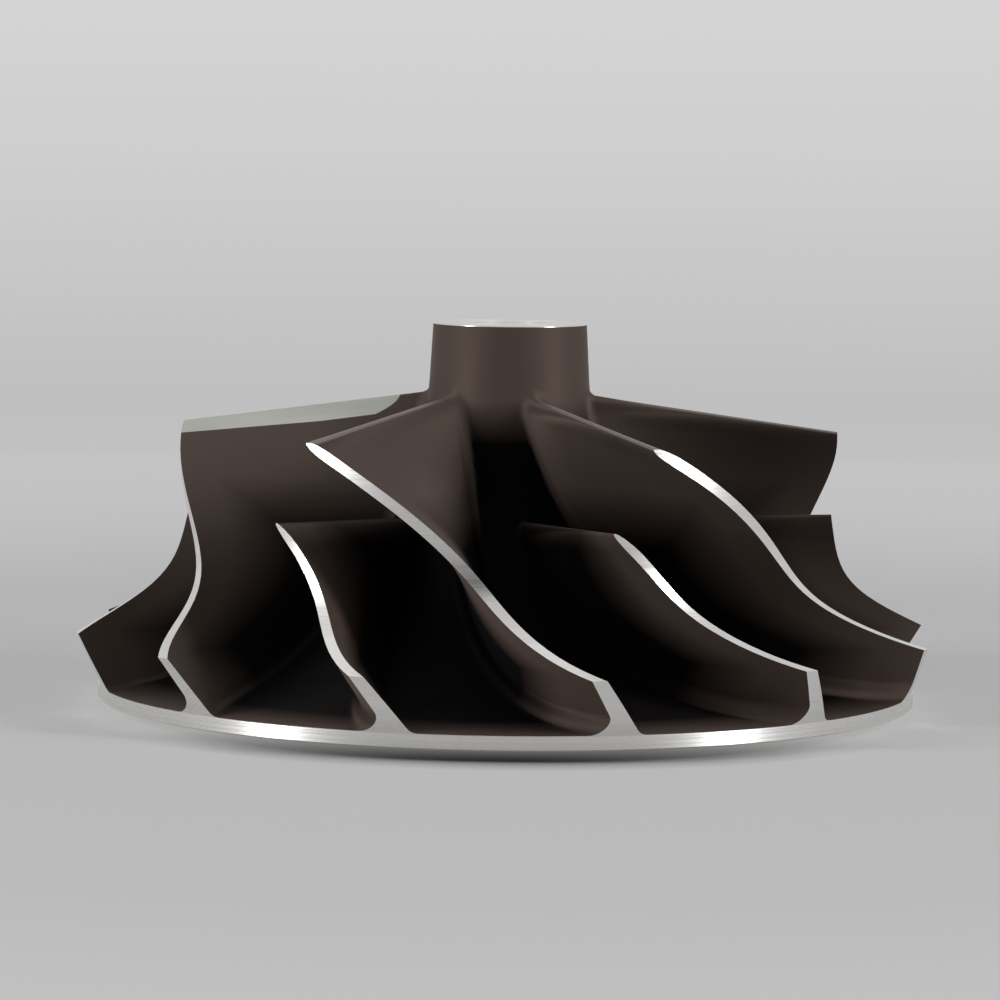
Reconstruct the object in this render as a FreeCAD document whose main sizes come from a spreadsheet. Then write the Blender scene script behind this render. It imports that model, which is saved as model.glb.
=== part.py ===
import FreeCAD, Part
import math
import os
import Sketcher
from FreeCAD import Vector, Placement, Rotation

# Compressor wheel, one piece: a turned hub with six full blades and six splitter blades.
# Millimetres, +Z up towards the air inlet, z = 0 on the seating face of the rear boss.

os.makedirs("parts", exist_ok=True)
doc = FreeCAD.newDocument("compressor_wheel")

# ---------------------------------------------------------------- sizes
SIZES = [
    ("tip_diameter", 76.0, "across the blade tips at the trailing edge"),
    ("tip_height", 6.96, "height of those tips"),
    ("tip_overhang", 2.05, "blade tips beyond the rim of the back disc"),
    ("rim_top", 2.24, "upper edge of the rim"),
    ("rim_bottom", 1.0, "lower edge of the rim"),
    ("inducer_diameter", 57.8, "across the blade tips at the leading edge"),
    ("inducer_height", 24.85, "height of those tips"),
    ("lead_edge_angle", 7.8, "degrees, leading edge rises towards the nose"),
    ("contour_inlet_pull", 11.85, "control length of the blade contour at the inlet"),
    ("contour_outlet_pull", 12.0, "control length of the blade contour at the outlet"),
    ("contour_outlet_angle", 24.5, "degrees below the horizontal at the outlet"),
    ("nose_diameter", 13.5, "top of the nose"),
    ("nose_height", 34.05, "top of the nose"),
    ("nose_angle", 3.2, "degrees, taper per side"),
    ("rim_edge", 0.12, "edge break under the rim"),
    ("nose_edge", 0.1, "chamfer round the top of the nose"),
    ("bore_edge", 0.3, "chamfer at both ends of the bore"),
    ("nose_base_rise", 4.15, "from the inducer's height to where the taper turns into the hub line"),
    ("hub_inlet_pull", 11.9, "control length of the hub line at the nose"),
    ("hub_outlet_pull", 22.3, "control length of the hub line at the rim"),
    ("floor_angle", 1.0, "degrees, floor falls towards the rim"),
    ("bore_diameter", 6.4, "shaft bore"),
    ("boss_diameter", 19.0, "seating boss on the back"),
    ("boss_fillet", 0.3, "between boss and back face"),
    ("back_rise", 0.4, "height of the back face next to the boss"),
    ("blade_count", 6.0, "full blades, and as many splitters between them"),
    ("start_angle", -125.5, "degrees, leading edge tip of the first full blade"),
    ("wrap_angle_one", 22.0, "degrees turned by the tip line, first control"),
    ("wrap_angle_two", 35.6, "second control"),
    ("wrap_angle_three", 37.1, "third control"),
    ("wrap_angle_total", 47.0, "from leading to trailing edge"),
    ("inlet_lag_angle", 9.9, "degrees, leading edge foot behind its tip"),
    ("outlet_rake_angle", 4.85, "degrees, trailing edge foot ahead of its tip"),
    ("splitter_height", 17.95, "leading edge tip of a splitter"),
    ("splitter_foot", 17.3, "leading edge foot of a splitter"),
    ("splitter_lead_angle", 1.25, "degrees, splitter inlet ahead of mid passage"),
    ("inlet_tip_thickness", 0.87, "outer edge of a full blade near the inlet"),
    ("splitter_tip_thickness", 0.74, "outer edge of a splitter near its inlet"),
    ("outlet_tip_thickness", 0.7, "outer edge at the outlet"),
    ("inlet_foot_thickness", 1.7, "blade where it meets the hub"),
    ("outlet_foot_thickness", 1.2, "the same at the outlet"),
    ("tip_edge_ratio", 6.0, "length over half thickness of the leading edge, at its tip"),
    ("splitter_edge_ratio", 9.0, "the same for a splitter"),
    ("foot_edge_ratio", 1.8, "the same at the foot of either"),
    ("foot_fillet", 1.1, "fillet between blade and hub"),
    ("blade_sink", 0.6, "how far a blade blank reaches into the hub"),
    ("turning_stock_depth", 1.2, "blade blank beyond the turned contour"),
    ("rim_stock_width", 1.6, "hub blank beyond the turned rim"),
]
sheet = doc.addObject("Spreadsheet::Sheet", "Sizes")
for row, (name, value, note) in enumerate(SIZES, start=1):
    sheet.set("A%d" % row, name)
    sheet.set("B%d" % row, repr(value))
    sheet.set("C%d" % row, note)
    sheet.setAlias("B%d" % row, name)
doc.recompute()


def size(name):
    return float(sheet.get(name))


# ---------------------------------------------------------------- curves in the turning plane
# Points are (radius, height).
class Track:
    """A line in the turning plane, met by its length; straight on beyond both ends."""

    def __init__(self, points):
        self.points = points
        self.lengths = [0.0]
        for p, q in zip(points, points[1:]):
            self.lengths.append(self.lengths[-1] + math.hypot(q[0] - p[0], q[1] - p[1]))

    def at(self, length):
        k = 1
        while k < len(self.points) - 1 and self.lengths[k] < length:
            k += 1
        p, q = self.points[k - 1], self.points[k]
        f = (length - self.lengths[k - 1]) / (self.lengths[k] - self.lengths[k - 1])
        return (p[0] + (q[0] - p[0]) * f, p[1] + (q[1] - p[1]) * f)

    def length_where(self, axis, value):
        """Length at which radius (axis 0) or height (axis 1) passes a value."""
        for k in range(1, len(self.points) - 1):
            if (self.points[k][axis] - value) * (self.points[0][axis] - value) <= 0:
                break
        p, q = self.points[k - 1], self.points[k]
        f = (value - p[axis]) / (q[axis] - p[axis])
        return self.lengths[k - 1] + f * (self.lengths[k] - self.lengths[k - 1])

    def gap(self, radius, height):
        """Distance of a point from the track, positive on the outer side."""
        k = min(range(len(self.points)),
                key=lambda i: (self.points[i][0] - radius) ** 2 + (self.points[i][1] - height) ** 2)
        p, q = self.points[max(k - 1, 0)], self.points[min(k + 1, len(self.points) - 1)]
        run = math.hypot(q[0] - p[0], q[1] - p[1])
        return ((q[0] - p[0]) * (height - p[1]) - (q[1] - p[1]) * (radius - p[0])) / run


def bernstein(controls, u):
    n = len(controls) - 1
    return sum(math.comb(n, i) * u ** i * (1 - u) ** (n - i) * c for i, c in enumerate(controls))


def value(rule):
    return float(sheet.evalExpression(rule))


def curve_points(pole_rules):
    """Close points along the curve with these poles."""
    poles = [(value(radius), value(height)) for radius, height in pole_rules]
    return [tuple(bernstein([p[axis] for p in poles], i / 240) for axis in (0, 1)) for i in range(241)]


# Poles (radius, height) as rules on the sheet, shared by the sketches and the blades.
# Contour: the outer line of the blades from the inlet to the outlet.
CONTOUR = [
    ("Sizes.inducer_diameter / 2", "Sizes.inducer_height"),
    ("Sizes.inducer_diameter / 2", "Sizes.inducer_height - Sizes.contour_inlet_pull"),
    ("Sizes.tip_diameter / 2 - Sizes.contour_outlet_pull * cos(Sizes.contour_outlet_angle)",
     "Sizes.tip_height + Sizes.contour_outlet_pull * sin(Sizes.contour_outlet_angle)"),
    ("Sizes.tip_diameter / 2", "Sizes.tip_height"),
]
# Hub line: tangent to the tapered nose, nearly flat where it runs out over the rim.
NOSE_BASE = "(Sizes.inducer_height + Sizes.nose_base_rise)"
NOSE_FOOT = "(Sizes.nose_diameter / 2 + (Sizes.nose_height - %s) * tan(Sizes.nose_angle))" % NOSE_BASE
RIM_RADIUS = "(Sizes.tip_diameter / 2 - Sizes.tip_overhang)"
STOCK_RADIUS = "(%s + Sizes.rim_stock_width)" % RIM_RADIUS
STOCK_HEIGHT = "(Sizes.rim_top - Sizes.rim_stock_width * tan(Sizes.floor_angle))"
HUB = [
    (NOSE_FOOT, NOSE_BASE),
    (NOSE_FOOT + " + Sizes.hub_inlet_pull * sin(Sizes.nose_angle)",
     NOSE_BASE + " - Sizes.hub_inlet_pull * cos(Sizes.nose_angle)"),
    (STOCK_RADIUS + " - Sizes.hub_outlet_pull * cos(Sizes.floor_angle)",
     STOCK_HEIGHT + " + Sizes.hub_outlet_pull * sin(Sizes.floor_angle)"),
    (STOCK_RADIUS, STOCK_HEIGHT),
]
contour = Track(curve_points(CONTOUR))
hub = Track(curve_points(HUB))


# ---------------------------------------------------------------- blades
NOSE_STEPS = 6      # points round a quarter of the leading edge
SIDE_STEPS = 18     # points along a blade side
OVERRUN = 1.12      # blade blanks run on past the outlet


def tip_angle(share):
    """Angle of the blade's outer line at a share of the contour, straight on beyond the outlet."""
    controls = [0.0] + [size("wrap_angle_" + name) for name in ("one", "two", "three", "total")]
    if share <= 1:
        return bernstein(controls, share)
    return controls[4] + 4 * (controls[4] - controls[3]) * (share - 1)


def spot(radius, height, degrees):
    a = math.radians(size("start_angle") + degrees)
    return Vector(radius * math.cos(a), radius * math.sin(a), height)


class Blade:
    """Camber surface made of straight rulings from the hub track to the contour track."""

    def __init__(self, foot_height, tip_height, tip_thickness, edge_ratio, shift, turn):
        self.foot_start = hub.length_where(1, foot_height)
        self.foot_first = hub.length_where(1, lead_foot())
        self.foot_end = hub.length_where(0, value(RIM_RADIUS))
        self.tip_start = contour.length_where(1, tip_height)
        self.tip_end = contour.lengths[-1]
        self.thickness = [(size("inlet_foot_thickness"), size("outlet_foot_thickness")),
                          (tip_thickness, size("outlet_tip_thickness"))]
        self.edge_ratio = [size("foot_edge_ratio"), edge_ratio]
        self.shift = shift
        self.turn = turn

    def tip(self, q):
        length = self.tip_start + (self.tip_end - self.tip_start) * q
        radius, height = contour.at(length)
        return spot(radius, height, self.turn + tip_angle(length / self.tip_end) + self.ahead(q))

    def foot(self, q):
        length = self.foot_start + (self.foot_end - self.foot_start) * q
        share = (length - self.foot_first) / (self.foot_end - self.foot_first)
        radius, height = hub.at(length)
        lean = (size("inlet_lag_angle") + size("outlet_rake_angle")) * share - size("inlet_lag_angle")
        return spot(radius, height, self.turn + tip_angle(share) + lean + self.ahead(q))

    def ahead(self, q):
        return self.shift * max(0.0, 1 - q) ** 2

    def side(self, q, end, offset):
        """Blade blank corner on ruling q: end 0 below the hub, 1 beyond the contour."""
        low, high = self.foot(q), self.tip(q)
        ruling = (high - low).normalize()
        line = self.tip if end else self.foot
        run = (line(q + 1e-3) - line(q - 1e-3)).normalize()
        first, last = self.thickness[end]
        across = run.cross(ruling).normalize() * (offset * (first + (last - first) * q * q) / 2)
        if end:
            return high + across + ruling * size("turning_stock_depth")
        point = low + across
        for step in range(4):
            depth = hub.gap(math.hypot(point.x, point.y), point.z)
            probe = point + ruling * 0.1
            rate = (hub.gap(math.hypot(probe.x, probe.y), probe.z) - depth) / 0.1
            point = point - ruling * ((depth + size("blade_sink")) / rate)
        return point

    def outline(self, end):
        """Both sides of the blank at one end of its rulings, each from the leading edge back."""
        line = self.tip if end else self.foot
        speed = (line(1e-3) - line(0)).Length / 1e-3
        nose = self.edge_ratio[end] * self.thickness[end][0] / 2 / speed
        stations = []
        for k in range(1, NOSE_STEPS + 1):
            a = math.pi / 2 * k / NOSE_STEPS
            stations.append((nose * (1 - math.cos(a)), math.sin(a)))
        for k in range(1, SIDE_STEPS + 1):
            stations.append((nose + (OVERRUN - nose) * (k / SIDE_STEPS) ** 1.25, 1.0))
        lead = self.side(0.0, end, 0.0)
        return [[lead] + [self.side(q, end, sign * full) for q, full in stations] for sign in (1, -1)]

    def solid(self):
        foot_sides, tip_sides = self.outline(0), self.outline(1)
        loops = [list(reversed(s[0])) + s[1][1:] for s in (foot_sides, tip_sides)]
        spacing = [0.0]
        for a, b, c, d in zip(loops[0], loops[0][1:], loops[1], loops[1][1:]):
            spacing.append(spacing[-1] + math.sqrt((b - a).Length) + math.sqrt((d - c).Length))
        middle = spacing[len(foot_sides[0]) - 1]
        halves = []
        for loop in loops:
            curve = Part.BSplineCurve()
            curve.interpolate(Points=loop, Parameters=spacing)
            first, second = curve.copy(), curve.copy()
            first.segment(spacing[0], middle)
            second.segment(middle, spacing[-1])
            first.reverse()
            halves.append((first.toShape(), second.toShape()))
        (foot_a, foot_b), (tip_a, tip_b) = halves
        end_low = Part.makeLine(foot_sides[0][-1], foot_sides[1][-1])
        end_high = Part.makeLine(tip_sides[0][-1], tip_sides[1][-1])
        faces = [
            Part.makeRuledSurface(foot_a, tip_a),
            Part.makeRuledSurface(foot_b, tip_b),
            Part.makeRuledSurface(foot_a, foot_b),
            Part.makeRuledSurface(tip_a, tip_b),
            Part.makeRuledSurface(end_low, end_high),
        ]
        shell = Part.Shell(faces)
        shell.sewShape()
        solid = Part.Solid(shell)
        if solid.Volume < 0:
            solid.reverse()
        return solid


def lead_foot():
    """Height where the leaning leading edge meets the hub."""
    lean = math.tan(math.radians(size("lead_edge_angle")))
    height = size("inducer_height")
    for step in range(20):
        radius = hub.at(hub.length_where(1, height))[0]
        height = size("inducer_height") + (size("inducer_diameter") / 2 - radius) * lean
    return height


pitch = 360 / size("blade_count")
full = Blade(lead_foot(), size("inducer_height"),
             size("inlet_tip_thickness"), size("tip_edge_ratio"), 0.0, 0.0)
splitter = Blade(size("splitter_foot"), size("splitter_height"),
                 size("splitter_tip_thickness"), size("splitter_edge_ratio"),
                 size("splitter_lead_angle"), pitch / 2)
blades = []
for label, blade in (("full_blade", full), ("splitter", splitter)):
    blank = blade.solid()
    for k in range(int(size("blade_count"))):
        feature = doc.addObject("Part::Feature", "%s_%d" % (label, k + 1))
        feature.Shape = blank
        feature.Placement = Placement(Vector(), Rotation(Vector(0, 0, 1), pitch * k))
        blades.append(feature)


# ---------------------------------------------------------------- turned bodies
def new_sketch(body, role):
    plane = [o for o in body.Origin.OriginFeatures if o.Role == role][0]
    sketch = body.newObject("Sketcher::SketchObject", "Sketch")
    sketch.AttachmentSupport = [(plane, "")]
    sketch.MapMode = "FlatFace"
    return sketch


def bind_point(sketch, geometry, point, name, rules):
    """Fix a sketch point to a radius and a height rule; a rule of nought puts it on the axis."""
    for kind, axis, rule in (("DistanceX", -2, rules[0]), ("DistanceY", -1, rules[1])):
        if rule == "0":
            sketch.addConstraint(Sketcher.Constraint("PointOnObject", geometry, point, axis))
        else:
            index = sketch.addConstraint(
                Sketcher.Constraint(kind, -1, 1, geometry, point, value(rule)))
            sketch.renameConstraint(index, name + kind[-1])
            sketch.setExpression("Constraints." + name + kind[-1], rule)


def draw_curve(sketch, name, pole_rules):
    """Four-pole curve; its two inner poles are bound, its ends belong to the outline's corners."""
    poles = [Vector(value(r), value(z), 0) for r, z in pole_rules]
    spline = Part.BSplineCurve()
    spline.buildFromPolesMultsKnots(poles, [4, 4], [0.0, 1.0], False, 3)
    curve = sketch.addGeometry(spline, False)
    knobs = [sketch.addGeometry(Part.Circle(p, Vector(0, 0, 1), 1.0), True) for p in poles]
    for number, knob in enumerate(knobs):
        sketch.addConstraint(Sketcher.Constraint(
            "InternalAlignment:Sketcher::BSplineControlPoint", knob, 3, curve, number))
    sketch.addConstraint(Sketcher.Constraint("Weight", knobs[0], 1.0))
    for knob in knobs[1:]:
        sketch.addConstraint(Sketcher.Constraint("Equal", knobs[0], knob))
    for number in (1, 2):
        bind_point(sketch, knobs[number], 3, "%s_pole%d" % (name, number), pole_rules[number])
    return curve


def draw_outline(sketch, corners, curve_name, pole_rules):
    """Closed outline through (name, radius rule, height rule); the curve follows its named corner."""
    sides = []
    for k, corner in enumerate(corners):
        following = corners[(k + 1) % len(corners)]
        if corner[0] == curve_name:
            sides.append(draw_curve(sketch, curve_name, pole_rules))
        else:
            ends = [Vector(value(c[1]), value(c[2]), 0) for c in (corner, following)]
            sides.append(sketch.addGeometry(Part.LineSegment(*ends), False))
    for k, corner in enumerate(corners):
        sketch.addConstraint(Sketcher.Constraint("Coincident", sides[k - 1], 2, sides[k], 1))
        bind_point(sketch, sides[k], 1, corner[0], corner[1:])


def revolve(body, sketch):
    turned = body.newObject("PartDesign::Revolution", "Revolution")
    turned.Profile = sketch
    turned.ReferenceAxis = (sketch, ["V_Axis"])
    turned.Angle = 360
    doc.recompute()
    return turned


def rings(feature, radius, height):
    """Names of the full circles of a feature at this radius and height."""
    return ["Edge%d" % (k + 1) for k, edge in enumerate(feature.Shape.Edges)
            if isinstance(edge.Curve, Part.Circle) and abs(edge.Curve.Radius - radius) < 1e-4
            and abs(edge.Curve.Center.z - height) < 1e-4]


blank = doc.addObject("PartDesign::Body", "hub_blank")
profile = new_sketch(blank, "XZ_Plane")
draw_outline(profile, [
    ("centre_low", "0", "0"),
    ("boss_low", "Sizes.boss_diameter / 2", "0"),
    ("boss_high", "Sizes.boss_diameter / 2", "Sizes.back_rise"),
    ("rim_low", STOCK_RADIUS, "Sizes.rim_bottom + Sizes.rim_stock_width * (Sizes.rim_bottom - Sizes.back_rise)"
     " / (%s - Sizes.boss_diameter / 2)" % RIM_RADIUS),
    ("hub_line",) + HUB[3],
    ("nose_foot",) + HUB[0],
    ("nose_top", "Sizes.nose_diameter / 2", "Sizes.nose_height"),
    ("centre_high", "0", "Sizes.nose_height"),
], "hub_line", list(reversed(HUB)))
turned = revolve(blank, profile)

bore_sketch = new_sketch(blank, "XY_Plane")
bore_circle = bore_sketch.addGeometry(Part.Circle(Vector(), Vector(0, 0, 1), size("bore_diameter") / 2), False)
bore_sketch.addConstraint(Sketcher.Constraint("Coincident", bore_circle, 3, -1, 1))
bore_sketch.addConstraint(Sketcher.Constraint("Diameter", bore_circle, size("bore_diameter")))
bore_sketch.renameConstraint(1, "bore")
bore_sketch.setExpression("Constraints.bore", "Sizes.bore_diameter")
bore = blank.newObject("PartDesign::Pocket", "Bore")
bore.Profile = bore_sketch
bore.Type = "ThroughAll"
bore.Reversed = True
doc.recompute()

bore_break = blank.newObject("PartDesign::Chamfer", "BoreEdges")
bore_break.Base = (bore, rings(bore, size("bore_diameter") / 2, 0)
                   + rings(bore, size("bore_diameter") / 2, size("nose_height")))
bore_break.setExpression("Size", "Sizes.bore_edge")
doc.recompute()
nose_break = blank.newObject("PartDesign::Chamfer", "NoseEdge")
nose_break.Base = (bore_break, rings(bore_break, size("nose_diameter") / 2, size("nose_height")))
nose_break.setExpression("Size", "Sizes.nose_edge")
doc.recompute()
boss_blend = blank.newObject("PartDesign::Fillet", "BossFillet")
boss_blend.Base = (nose_break, rings(nose_break, size("boss_diameter") / 2, size("back_rise")))
boss_blend.setExpression("Radius", "Sizes.boss_fillet")
blank.Tip = boss_blend
doc.recompute()

waste = doc.addObject("PartDesign::Body", "turned_away")
waste_profile = new_sketch(waste, "XZ_Plane")
draw_outline(waste_profile, [
    ("edge_low", RIM_RADIUS + " - Sizes.rim_edge - Sizes.rim_bottom", "0"),
    ("edge_high", RIM_RADIUS, "Sizes.rim_bottom + Sizes.rim_edge"),
    ("rim_top", RIM_RADIUS, "Sizes.rim_top"),
    ("contour",) + CONTOUR[3],
    ("inlet",) + CONTOUR[0],
    ("above_inlet", "Sizes.inducer_diameter / 2", "Sizes.nose_height"),
    ("outside_high", "Sizes.tip_diameter * 0.6", "Sizes.nose_height"),
    ("outside_low", "Sizes.tip_diameter * 0.6", "0"),
], "contour", list(reversed(CONTOUR)))
revolve(waste, waste_profile)

# ---------------------------------------------------------------- one piece
joined = doc.addObject("Part::MultiFuse", "blank_and_blades")
joined.Shapes = [blank] + blades
joined.Refine = False
doc.recompute()


def on_shape(point, shape):
    return shape.distToShape(Part.Vertex(point))[0] < 1e-4


sides = [(b.Shape.BoundBox, b.Shape.Shells[0]) for b in blades]
roots = []
for number, edge in enumerate(joined.Shape.Edges, start=1):
    middle = edge.valueAt((edge.FirstParameter + edge.LastParameter) / 2)
    if abs(hub.gap(math.hypot(middle.x, middle.y), middle.z)) < 0.05:
        if any(box.isInside(middle) and on_shape(middle, shell) for box, shell in sides):
            roots.append((number, size("foot_fillet"), size("foot_fillet")))
blended = doc.addObject("Part::Fillet", "root_fillets")
blended.Base = joined
blended.Edges = roots
doc.recompute()

wheel = doc.addObject("Part::Cut", "compressor_wheel")
wheel.Base = blended
wheel.Tool = waste
wheel.Label = "compressor_wheel"
doc.recompute()

for item in doc.Objects:
    if any(state in ("Invalid", "Error") for state in item.State):
        raise RuntimeError("not built: " + item.Name)
if wheel.Shape.isNull() or not wheel.Shape.isValid() or len(wheel.Shape.Solids) != 1:
    raise RuntimeError("the wheel is not one valid solid")
wheel.Shape.exportStep("parts/compressor_wheel.step")
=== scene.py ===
import bpy, math
import numpy as np
from mathutils import Matrix, Vector

# Compressor wheel: satin dark coat on the blades and hub, bright turned metal on the rim, the blades'
# outer edges, the nose face, the bore and the back. Metres, +Z up, -Y to the front.

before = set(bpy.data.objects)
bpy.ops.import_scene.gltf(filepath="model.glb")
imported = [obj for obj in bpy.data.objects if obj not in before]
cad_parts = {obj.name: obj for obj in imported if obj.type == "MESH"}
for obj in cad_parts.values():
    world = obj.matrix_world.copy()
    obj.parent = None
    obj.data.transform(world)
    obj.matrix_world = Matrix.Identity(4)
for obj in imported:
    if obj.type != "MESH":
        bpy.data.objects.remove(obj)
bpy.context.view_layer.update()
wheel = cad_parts["compressor_wheel"]


def colour(red, green, blue):
    return (red, green, blue, 1)


def grey(shade):
    return colour(shade, shade, shade)


# ---------------------------------------------------------------- sizes the finish follows
INLET_HEIGHT = 0.02485                      # tip of a full blade's leading edge
INLET_RADIUS = 0.0289
LEAD_SLOPE = math.tan(math.radians(7.8))    # the leading edge's rise towards the nose
BORE_REACH = 0.0036                         # just past the bore and its chamfers
FACE_SKIN = 0.00013                         # depth of turned metal at the nose face
BACK_SKIN = 0.00005
CUT_SKIN = 0.00012                          # how near the contour a face lies to count as turned
SQUARE = 0.2                                # a turned face's greatest lean around the shaft
RIM_SHARE = 0.94                            # the rim lies beyond this share of the tip radius
RIM_BAND = 0.0004                           # height above the rim's foot that gives its radius
CONTOUR_BANDS = 24
GROUND_BLADE = math.radians(-190.5)         # middle of the blade that carries the ground patch
GROUND_HALF_SECTOR = math.radians(16)
GROUND_TAPER = INLET_RADIUS, 0.0165         # radii over which the patch deepens inwards
GROUND_DEPTH = 0.00088, 0.0014              # its depth below the leading edge at those radii
GROUND_END = 0.0098, 0.0118                 # radii over which its inner end is rounded

# ---------------------------------------------------------------- fades: where each starts, where it is full
# Painted highlight on the leading edges: fades in below the edge and along the radius.
LEAD_HIGHLIGHT_DEPTH = 0.00016, 0.00006               # below the leading edge
LEAD_HIGHLIGHT_RADIUS = 0.0085, 0.012
# Painted shade: the next five fades set where the black painted into the passages gives way to brown.
BLADE_EDGE = 0.0095, 0.003                  # brown on the blades, by distance in from the contour
BLADE_TOP = 0.0155, 0.0205                  # and by height
NOSE_FOOT = 0.0238, 0.0275                  # brown on the hub, by height
HUB_RIM = 0.031, 0.036                      # and by radius
HUB_TO_BLADE = 0.22, 0.48                   # a face's lean around the shaft
# Painted shade on the lower parts of the wheel, by height.
LOWER_SHADE_TO_UPPER = 0.008, 0.020               # height

# ---------------------------------------------------------------- surface values
COAT_METAL = 0.5
GROUND_METAL_SHARE = 0.7
COAT_ROUGHNESS = 0.70, 0.78
TURNED_ROUGHNESS = 0.24, 0.34
NOISE_MIDDLE = 0.3, 0.7                     # the part of a noise's range that is used

# ---------------------------------------------------------------- colours, darker and paler of each pair
# Painted shade colour for the deep passages between the blades and down the hub.
PAINTED_SHADE_BLACK = colour(0.004, 0.0030, 0.0028)
UPPER_BROWN = colour(0.122, 0.0915, 0.0780), colour(0.146, 0.1100, 0.0945)
# Darker brown of the painted shade on the lower parts.
PAINTED_SHADE_LOWER_BROWN = colour(0.090, 0.0660, 0.0550), colour(0.108, 0.0790, 0.0660)
# Paler brown of the painted highlight on the leading edges.
PAINTED_HIGHLIGHT_BROWN = colour(0.26, 0.235, 0.22)
TURNED_METAL = colour(0.74, 0.725, 0.705), colour(0.90, 0.885, 0.865)
GROUND_METAL = colour(0.60, 0.61, 0.56), colour(0.76, 0.77, 0.71)

# ---------------------------------------------------------------- texture scales, cells to the metre
TOOL_RINGS = 5200
RING_BANDS = 900
COAT_CLOUDS = 160
COAT_GRAIN = 5200
GRINDING_STREAKS = 9000

# ---------------------------------------------------------------- the wheel's own lines, from its mesh
verts = np.empty(len(wheel.data.vertices) * 3)
wheel.data.vertices.foreach_get("co", verts)
verts = verts.reshape(-1, 3)
height = verts[:, 2]
reach = np.hypot(verts[:, 0], verts[:, 1])
top = height.max()
tip_radius = reach.max()
tip_height = height[reach > tip_radius - 1e-5].max()


def outermost(low, high, count):
    """Outermost point (height, radius) of the mesh in each of count height bands from low to high."""
    edges = np.linspace(low, high, count + 1)
    points = []
    for a, b in zip(edges, edges[1:]):
        band = np.flatnonzero((height >= a) & (height <= b))
        if len(band):
            k = band[reach[band].argmax()]
            points.append((height[k], reach[k]))
    return points


rim_low = height[reach > RIM_SHARE * tip_radius].min()
rim_radius = reach[height < rim_low + RIM_BAND].max()
rim_top = height[(reach > rim_radius - 1e-5) & (reach < rim_radius + 1e-5)].max()
contour = [(0.0, rim_radius), (rim_top, rim_radius)]
contour += outermost(tip_height, INLET_HEIGHT, CONTOUR_BANDS)
# Past the inlet the line jumps out to 1 m, so that nothing above it counts as turned contour.
contour += [(INLET_HEIGHT + 0.0001, contour[-1][1]), (INLET_HEIGHT + 0.0003, 1.0)]


# ---------------------------------------------------------------- shader trees
class Nodes:
    """Builds a shader tree from short calls; each call returns an output socket."""

    def __init__(self, tree):
        self.tree = tree
        tree.nodes.clear()

    def add(self, kind):
        return self.tree.nodes.new(kind)

    def feed(self, socket, value):
        if isinstance(value, bpy.types.NodeSocket):
            self.tree.links.new(value, socket)
        else:
            socket.default_value = value

    def math(self, operation, a, b=0.0):
        node = self.add("ShaderNodeMath")
        node.operation = operation
        self.feed(node.inputs[0], a)
        self.feed(node.inputs[1], b)
        return node.outputs[0]

    def above(self, a, b):
        """1 where a is more than b."""
        return self.math("GREATER_THAN", a, b)

    def below(self, a, b):
        """1 where a is less than b."""
        return self.math("LESS_THAN", a, b)

    def product(self, *factors):
        result = factors[0]
        for factor in factors[1:]:
            result = self.math("MULTIPLY", result, factor)
        return result

    def any_of(self, *masks):
        """The largest of the masks."""
        result = masks[0]
        for mask in masks[1:]:
            result = self.math("MAXIMUM", result, mask)
        return result

    def vector(self, operation, a, b=(0, 0, 0)):
        node = self.add("ShaderNodeVectorMath")
        node.operation = operation
        self.feed(node.inputs[0], a)
        self.feed(node.inputs[1], b)
        return node.outputs["Value" if operation in ("DOT_PRODUCT", "LENGTH") else "Vector"]

    def combine(self, x, y, z):
        node = self.add("ShaderNodeCombineXYZ")
        for socket, value in zip(node.inputs, (x, y, z)):
            self.feed(socket, value)
        return node.outputs[0]

    def split(self, vector):
        """The vector's X, Y and Z."""
        node = self.add("ShaderNodeSeparateXYZ")
        self.feed(node.inputs[0], vector)
        return node.outputs

    def noise(self, vector, scale, detail=2.0, rough=0.5):
        node = self.add("ShaderNodeTexNoise")
        self.feed(node.inputs["Vector"], vector)
        node.inputs["Scale"].default_value = scale
        node.inputs["Detail"].default_value = detail
        node.inputs["Roughness"].default_value = rough
        return node.outputs["Fac"]

    def remap(self, value, low, high, start=0.0, end=1.0):
        """Linear from (low, start) to (high, end), held beyond both."""
        node = self.add("ShaderNodeMapRange")
        for socket, number in zip(node.inputs, (value, low, high, start, end)):
            self.feed(socket, number)
        return node.outputs[0]

    def ramp(self, value, stops):
        """Plain value through (position, shade) stops."""
        node = self.add("ShaderNodeValToRGB")
        self.feed(node.inputs[0], value)
        elements = node.color_ramp.elements
        while len(elements) < len(stops):
            elements.new(1.0)
        for element, (position, _) in zip(elements, stops):
            element.position = position
        for element, (_, shade) in zip(elements, stops):
            element.color = grey(shade)
        return node.outputs[0]

    def mix(self, share, a, b):
        """Mix of two plain values."""
        node = self.add("ShaderNodeMix")
        for index, value in ((0, share), (2, a), (3, b)):
            self.feed(node.inputs[index], value)
        return node.outputs[0]

    def mix_colour(self, share, a, b):
        node = self.add("ShaderNodeMix")
        node.data_type = "RGBA"
        for index, value in ((0, share), (6, a), (7, b)):
            self.feed(node.inputs[index], value)
        return node.outputs[2]

    def seen(self):
        """1 for rays that show the backdrop: from the camera, by gloss or through glass."""
        path = self.add("ShaderNodeLightPath")
        return self.any_of(path.outputs["Is Camera Ray"], path.outputs["Is Glossy Ray"],
                           path.outputs["Is Transmission Ray"])


# ---------------------------------------------------------------- wheel finish
material = bpy.data.materials.new("coated_and_turned")
material.use_nodes = True
t = Nodes(material.node_tree)
place = t.add("ShaderNodeTexCoord").outputs["Object"]
normals = t.add("ShaderNodeNewGeometry").outputs
x, y, z = t.split(place)
radius = t.vector("LENGTH", t.combine(x, y, 0.0))
around = t.vector("NORMALIZE", t.combine(t.product(y, -1.0), x, 0.0))
ahead = t.vector("DOT_PRODUCT", normals["True Normal"], around)

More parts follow.
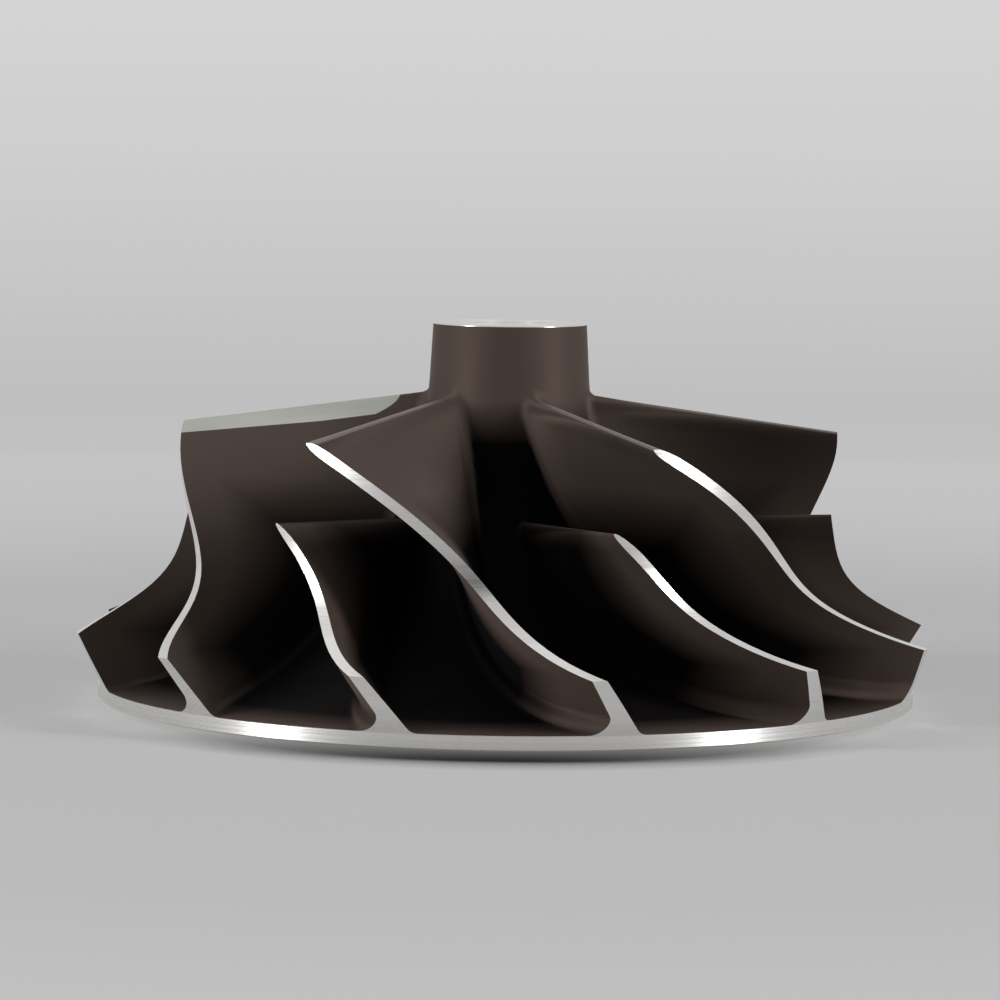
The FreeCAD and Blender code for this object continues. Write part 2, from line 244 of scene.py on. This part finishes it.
# Turned faces: square to the shaft's planes and on the wheel's outermost line.
square = t.below(t.math("ABSOLUTE", ahead), SQUARE)
line = t.ramp(t.math("DIVIDE", z, top), [(h / top, r) for h, r in contour])
on_contour = t.product(square, t.above(radius, t.math("SUBTRACT", line, CUT_SKIN)))
nose_face = t.above(z, top - FACE_SKIN)
back = t.below(z, rim_low + BACK_SKIN)
bore = t.below(radius, BORE_REACH)
turned = t.any_of(on_contour, nose_face, back, bore)

# Leading edges: a painted highlight, a narrow paler line along the top of each full blade.
lead_rise = t.product(t.math("SUBTRACT", INLET_RADIUS, radius), LEAD_SLOPE)
below_lead = t.math("SUBTRACT", t.math("ADD", INLET_HEIGHT, lead_rise), z)
painted_lead_highlight = t.product(t.remap(below_lead, *LEAD_HIGHLIGHT_DEPTH), t.remap(radius, *LEAD_HIGHLIGHT_RADIUS))

# Ground patch: bare metal below the leading edge on the upper face of one blade, its inner end round.
blade_way = (math.cos(GROUND_BLADE), math.sin(GROUND_BLADE), 0.0)
in_sector = t.above(t.vector("DOT_PRODUCT", place, blade_way),
                    t.product(radius, math.cos(GROUND_HALF_SECTOR)))
patch_depth = t.product(t.remap(radius, *GROUND_TAPER, *GROUND_DEPTH),
                        t.math("SQRT", t.remap(radius, *GROUND_END)))
ground = t.product(in_sector, t.above(ahead, 0.0), t.above(radius, GROUND_END[0]),
                   t.below(below_lead, patch_depth))

# Painted shade: the coat is painted black deep between the blades and down the hub, where little light
# reaches, and brown on the nose, the rim side and the blades' outer parts.
depth = t.math("SUBTRACT", line, radius)
blade_out_of_shade = t.any_of(t.remap(depth, *BLADE_EDGE), t.remap(z, *BLADE_TOP))
hub_out_of_shade = t.any_of(t.remap(z, *NOSE_FOOT), t.remap(radius, *HUB_RIM))
side_on = t.math("ABSOLUTE", t.vector("DOT_PRODUCT", normals["Normal"], around))
out_of_painted_shade = t.mix(t.remap(side_on, *HUB_TO_BLADE), hub_out_of_shade, blade_out_of_shade)

# Tool rings: noise on radius and height alone, the same all round the shaft.
ring_place = t.combine(radius, z, 0.0)
rings = t.noise(ring_place, TOOL_RINGS, 3.0, 0.6)
ring_bands = t.noise(ring_place, RING_BANDS)
cloud = t.noise(place, COAT_CLOUDS, 3.0)
grain = t.noise(place, COAT_GRAIN)
streaks = t.noise(t.combine(below_lead, 0.0, 0.0), GRINDING_STREAKS)

# Painted shade: the brown is darker on the lower parts of the wheel, where less light falls, and lighter
# higher up.
brown = t.mix_colour(t.remap(z, *LOWER_SHADE_TO_UPPER), t.mix_colour(cloud, *PAINTED_SHADE_LOWER_BROWN),
                     t.mix_colour(cloud, *UPPER_BROWN))
coat_painted_shade = t.mix_colour(out_of_painted_shade, PAINTED_SHADE_BLACK, brown)
coat_and_painted_highlight = t.mix_colour(painted_lead_highlight, coat_painted_shade, PAINTED_HIGHLIGHT_BROWN)
finish = t.mix_colour(turned, coat_and_painted_highlight, t.mix_colour(ring_bands, *TURNED_METAL))
finish = t.mix_colour(ground, finish, t.mix_colour(streaks, *GROUND_METAL))

# The tool rings stretch each highlight across themselves.
surface = t.add("ShaderNodeBsdfPrincipled")
surface.inputs["Specular IOR Level"].default_value = 0.08
surface.inputs["Anisotropic"].default_value = 0.7
surface.inputs["Anisotropic Rotation"].default_value = 0.25
t.feed(surface.inputs["Base Color"], finish)
t.feed(surface.inputs["Metallic"],
       t.any_of(t.mix(turned, COAT_METAL, 1.0), t.product(ground, GROUND_METAL_SHARE)))
t.feed(surface.inputs["Roughness"],
       t.mix(turned, t.remap(cloud, *NOISE_MIDDLE, *COAT_ROUGHNESS),
             t.remap(rings, *NOISE_MIDDLE, *TURNED_ROUGHNESS)))
bump = t.add("ShaderNodeBump")
t.feed(bump.inputs["Height"], t.mix(turned, grain, rings))
bump.inputs["Strength"].default_value = 0.08
bump.inputs["Distance"].default_value = 0.00002
t.feed(surface.inputs["Normal"], bump.outputs[0])
t.feed(t.add("ShaderNodeOutputMaterial").inputs["Surface"], surface.outputs[0])
for slot in wheel.material_slots:
    slot.material = material

# ---------------------------------------------------------------- floor and backdrop
FLOOR_RINGS = [0.1, 1.0, 10.0, 40.0]
FLOOR_SPOKES = 48
PAPER = grey(0.7)
SHADED_PAPER = grey(0.25)
SHADE_REACH = 0.040, 0.0345                 # contact shade, by distance from the shaft
SHADE_FRONT = -0.018, -0.034                # and by Y
# Tone of the paper by the logarithm of its distance from the shaft: 0 is about 0.1 m, 1 about 10 m.
FAR_TONES = [(0.0, 0.70), (0.12, 0.68), (0.18, 0.635), (0.256, 0.535), (0.33, 0.52),
             (0.42, 0.545), (0.52, 0.57), (0.72, 0.605), (1.0, 0.625)]
FAR_FADE = 0.10, 0.30                       # distance over which that tone takes over
FAR_SHARE = 0.4, 1.0                        # its share before and after
HORIZON = grey(0.625)
ROOM = grey(0.66)
HORIZON_BAND = 0.0, 0.025                   # Z of the direction looked in
DARK_FRONT = -0.35, -0.7                    # its Y, where the room in front darkens
DARK_FOOT = 0.03, 0.1                       # its Z at the dark part's foot
DARK_HEAD = 0.75, 0.6                       # and at its head
ROOM_STRENGTH = 0.2, 1.0                    # for the light it gives, and as seen
FRONT_STRENGTH = 0.06, 0.2


def ring_grid(radii, spokes):
    """Flat disc: rings of the given radii, each point at its radius times (cos, sin) of its angle."""
    angle = np.linspace(0, 2 * math.pi, spokes, endpoint=False)
    points = np.zeros((len(radii) * spokes, 3))
    points[:, 0] = np.outer(radii, np.cos(angle)).ravel()
    points[:, 1] = np.outer(radii, np.sin(angle)).ravel()
    first = np.arange(spokes)
    after = (first + 1) % spokes
    faces = [tuple(first)]
    for k in range(len(radii) - 1):
        inner, outer = k * spokes, (k + 1) * spokes
        quads = np.stack([inner + first, outer + first, outer + after, inner + after], 1)
        faces += [tuple(q) for q in quads.tolist()]
    return points.tolist(), faces


mesh = bpy.data.meshes.new("floor")
points, faces = ring_grid(FLOOR_RINGS, FLOOR_SPOKES)
mesh.from_pydata(points, [], faces)
floor = bpy.data.objects.new("floor", mesh)
bpy.context.scene.collection.objects.link(floor)

paper = bpy.data.materials.new("pale_paper")
paper.use_nodes = True
f = Nodes(paper.node_tree)
floor_place = f.add("ShaderNodeTexCoord").outputs["Object"]
spread = f.vector("LENGTH", floor_place)
floor_y = f.split(floor_place)[1]

# Contact shade under the front of the rim, where little light reaches.
under = f.product(f.remap(spread, *SHADE_REACH), f.remap(floor_y, *SHADE_FRONT))
matt = f.add("ShaderNodeBsdfDiffuse")
f.feed(matt.inputs["Color"], f.mix_colour(under, PAPER, SHADED_PAPER))

# Away from the wheel the paper shows a steady tone, to the eye and in gloss alone.
far = f.add("ShaderNodeEmission")
decades = f.math("LOGARITHM", f.math("ADD", spread, 0.01), 10.0)
f.feed(far.inputs["Color"], f.ramp(f.remap(decades, -1.0, 1.0), FAR_TONES))
f.feed(far.inputs["Strength"], f.seen())
blend = f.add("ShaderNodeMixShader")
f.feed(blend.inputs[0],
       f.product(f.math("SUBTRACT", 1.0, under), f.remap(spread, *FAR_FADE, *FAR_SHARE)))
f.feed(blend.inputs[1], matt.outputs[0])
f.feed(blend.inputs[2], far.outputs[0])
f.feed(f.add("ShaderNodeOutputMaterial").inputs["Surface"], blend.outputs[0])
mesh.materials.append(paper)

# Pale room: dim in the light it gives, and darker in front, so that the metal has something to mirror.
world = bpy.data.worlds.new("world")
bpy.context.scene.world = world
world.use_nodes = True
w = Nodes(world.node_tree)
sky = w.add("ShaderNodeBackground")
way = w.split(w.add("ShaderNodeTexCoord").outputs["Generated"])
w.feed(sky.inputs["Color"], w.mix_colour(w.remap(way[2], *HORIZON_BAND), HORIZON, ROOM))
to_front = w.product(w.remap(way[1], *DARK_FRONT), w.remap(way[2], *DARK_FOOT),
                     w.remap(way[2], *DARK_HEAD))
w.feed(sky.inputs["Strength"],
       w.mix(to_front, w.mix(w.seen(), *ROOM_STRENGTH), w.mix(w.seen(), *FRONT_STRENGTH)))
w.feed(w.add("ShaderNodeOutputWorld").inputs["Surface"], sky.outputs[0])

# ---------------------------------------------------------------- lamps
CENTRE = Vector((0, 0, 0.014))
# Name, azimuth and elevation in degrees, distance, width, height, power in watts.
SOFT_BOXES = (
    ("left_box", -65, 17, 0.6, 0.1, 0.42, 2.0),
    ("right_box", 63, 17, 0.6, 0.1, 0.42, 2.05),
    ("upper_box", 180, 60, 0.7, 0.5, 0.3, 0.15),
)


def lamp(name, azimuth, elevation, distance, wide, tall, power):
    """Soft box; azimuth from the front towards the right, aimed at the middle of the wheel."""
    light = bpy.data.lights.new(name, "AREA")
    light.shape = "RECTANGLE"
    light.size, light.size_y = wide, tall
    light.energy = power
    lamp_object = bpy.data.objects.new(name, light)
    bpy.context.scene.collection.objects.link(lamp_object)
    a, e = math.radians(azimuth), math.radians(elevation)
    spot = CENTRE + distance * Vector((math.sin(a) * math.cos(e), -math.cos(a) * math.cos(e), math.sin(e)))
    lamp_object.location = spot
    lamp_object.rotation_euler = (CENTRE - spot).to_track_quat("-Z", "Y").to_euler()


for box in SOFT_BOXES:
    lamp(*box)

# ---------------------------------------------------------------- camera
VIEW_DROP = math.radians(5.298)
VIEW_ROLL = math.radians(0.7145)
VIEW_DISTANCE = 0.39604
ORBIT_HEIGHT = 0.014764
AIM = Vector((-0.000698, 0, 0.018357))
LENS = 161.35                               # millimetres, as the sensor's width
SENSOR = 36


def set_camera():
    """Level view from the front, 5.3 degrees down, rolled slightly."""
    spot = Vector((0, -VIEW_DISTANCE * math.cos(VIEW_DROP),
                   ORBIT_HEIGHT + VIEW_DISTANCE * math.sin(VIEW_DROP)))
    forward = (AIM - spot).normalized()
    right = forward.cross(Vector((0, 0, 1))).normalized()
    up = right.cross(forward)
    right, up = (right * math.cos(VIEW_ROLL) + up * math.sin(VIEW_ROLL),
                 up * math.cos(VIEW_ROLL) - right * math.sin(VIEW_ROLL))
    camera = bpy.data.cameras.new("camera")
    camera.sensor_width = SENSOR
    camera.lens = LENS
    camera.clip_start, camera.clip_end = 0.01, 100
    camera_object = bpy.data.objects.new("camera", camera)
    camera_object.matrix_world = Matrix((
        (right.x, up.x, -forward.x, spot.x),
        (right.y, up.y, -forward.y, spot.y),
        (right.z, up.z, -forward.z, spot.z),
        (0, 0, 0, 1)))
    bpy.context.scene.collection.objects.link(camera_object)
    bpy.context.scene.camera = camera_object


set_camera()
bpy.context.scene.view_settings.view_transform = "Standard"
